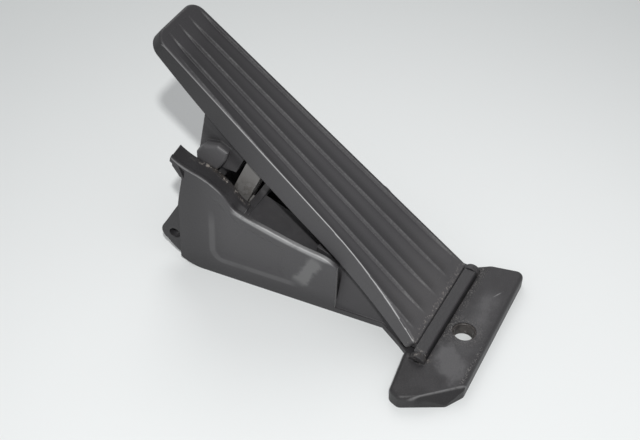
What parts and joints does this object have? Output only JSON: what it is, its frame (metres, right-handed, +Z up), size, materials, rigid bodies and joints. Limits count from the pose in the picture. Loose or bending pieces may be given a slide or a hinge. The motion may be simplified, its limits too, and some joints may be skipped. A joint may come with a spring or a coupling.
{
  "type": "accelerator pedal module",
  "caption": "Floor-hinged accelerator pedal with fluted tread, open housing, strut, return springs and rotary position sensor.",
  "frame": {"origin": "axis of the front fixing sleeve at floor level", "axes": "+X to the driver's right, +Y from the foot to the rear of the housing, +Z up"},
  "size_m": [0.1279, 0.1992, 0.1318],
  "materials": {
    "housing_plastic": "matte",
    "pedal_plastic": "matte",
    "link_plastic": "satin",
    "lever_plastic": "satin",
    "cover_plastic": "matte",
    "steel": "satin",
    "spring_steel": "oiled",
    "bush_plastic": "satin",
    "rubber": "matte",
    "board": "satin",
    "chip": "satin",
    "magnet": "matte",
    "contact": "bright"
  },
  "bodies": {
    "base": {"base_housing": "housing_plastic", "fixing_sleeve": "steel", "hinge_pin": "steel", "left_bush": "bush_plastic", "right_bush": "bush_plastic", "shaft_seal": "rubber", "return_spring_left": "spring_steel", "return_spring_right": "spring_steel", "rest_stop_pad": "rubber", "full_travel_stop": "rubber", "sensor_cover": "cover_plastic", "cover_gasket": "rubber", "circuit_board": "board", "hall_sensors": "chip", "contact_pins": "contact", "cover_screws": "steel", "thrust_washer": "bush_plastic"},
    "pedal": {"pedal_plate": "pedal_plastic", "link_pin_top": "steel"},
    "lever": {"drive_lever": "lever_plastic", "lever_shaft": "steel", "magnet_holder": "lever_plastic", "sensor_magnet": "magnet", "shaft_clip": "spring_steel"},
    "link": {"drive_link": "link_plastic", "link_pin_bottom": "steel"}
  },
  "joints": [
    {"name": "pedal_hinge", "type": "hinge", "parent": "base", "child": "pedal", "pos_m": [0, 0.0134, 0.0076], "axis": [-1, 0, 0], "range_deg": [0, 10], "stiffness_Nm_per_rad": 17, "springref_deg": -9.74},
    {"name": "lever_turn", "type": "hinge", "parent": "base", "child": "lever", "pos_m": [0, 0.08, 0.018], "axis": [-1, 0, 0], "range_deg": [0, 21.4], "deforming": ["return_spring_left", "return_spring_right"]},
    {"name": "link_swing", "type": "hinge", "parent": "pedal", "child": "link", "pos_m": [0, 0.121, 0.074], "axis": [-1, 0, 0], "range_deg": [-1.4, 0]}
  ],
  "couplings": [
    {"joint": "lever_turn", "follows": "pedal_hinge", "ratio": 2.1339},
    {"joint": "link_swing", "follows": "pedal_hinge", "ratio": -0.1372}
  ]
}
